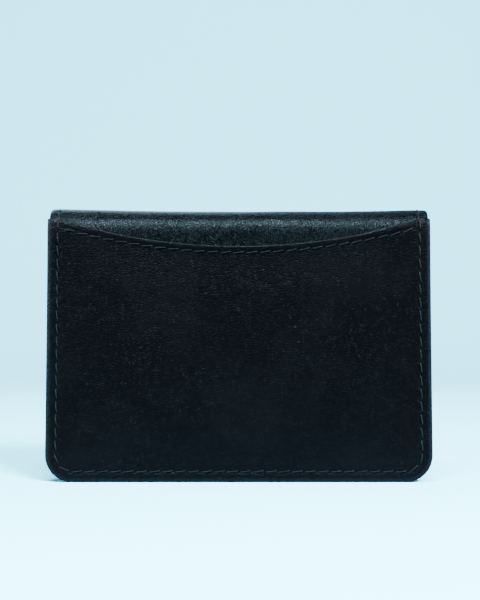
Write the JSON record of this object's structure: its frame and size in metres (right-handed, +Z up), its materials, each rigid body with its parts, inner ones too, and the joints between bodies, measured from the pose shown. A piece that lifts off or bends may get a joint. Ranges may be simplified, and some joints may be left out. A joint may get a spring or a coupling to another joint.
{
  "type": "card holder",
  "caption": "Folding leather card holder with an outside slip pocket, card slots inside one cover and a bellows pocket inside the other; it opens about its fold.",
  "frame": {"origin": "middle of the closed holder's bounding box, on the surface it stands on", "axes": "+X along the fold, +Y out through the back cover, +Z up from the covers' free edges to the fold"},
  "size_m": [0.105, 0.0158, 0.0745],
  "materials": {
    "shell_leather": "pebbled grain, semi-gloss",
    "pocket_leather": "fine grain, satin",
    "slot_leather": "fine grain, satin",
    "wall_leather": "fine grain, satin",
    "gusset_leather": "thin, soft, matte",
    "lining": "fine plain weave",
    "fold_tape": "woven tape",
    "board": "pressed leather-fibre board",
    "thread": "waxed polyester thread"
  },
  "bodies": {
    "back_cover": {"back_shell": "shell_leather", "back_board": "board", "back_fold_tape": "fold_tape", "back_lining": "lining", "bellows_gusset": "gusset_leather", "back_seam_thread_outside": "thread", "back_seam_thread_inside": "thread"},
    "spine": {"spine_shell": "shell_leather", "spine_tape": "fold_tape", "spine_lining": "lining", "spine_seam_thread_outside": "thread"},
    "front_cover": {"front_shell": "shell_leather", "front_board": "board", "front_fold_tape": "fold_tape", "front_lining": "lining", "slip_pocket_face": "pocket_leather", "slip_pocket_hem": "pocket_leather", "slip_pocket_mouth_hem": "pocket_leather", "card_slot_1": "slot_leather", "card_slot_2": "slot_leather", "card_slot_3": "slot_leather", "front_seam_thread_outside": "thread", "front_seam_thread_inside": "thread", "slip_pocket_mouth_thread": "thread"},
    "bellows_wall": {"bellows_wall": "wall_leather", "bellows_wall_lining": "lining", "bellows_wall_thread": "thread"}
  },
  "joints": [
    {"name": "back_fold", "type": "hinge", "parent": "back_cover", "child": "spine", "pos_m": [0, 0.00572, 0.07227], "axis": [-1, 0, 0], "range_deg": [0, 90]},
    {"name": "front_fold", "type": "hinge", "parent": "spine", "child": "front_cover", "pos_m": [0, -0.00442, 0.07227], "axis": [-1, 0, 0], "range_deg": [0, 90]},
    {"name": "bellows_slide", "type": "slide", "parent": "back_cover", "child": "bellows_wall", "axis": [0, 1, 0], "range_m": [0, 0.0026], "deforming": ["bellows_gusset"]}
  ],
  "couplings": [
    {"joint": "front_fold", "follows": "back_fold", "ratio": 1}
  ]
}
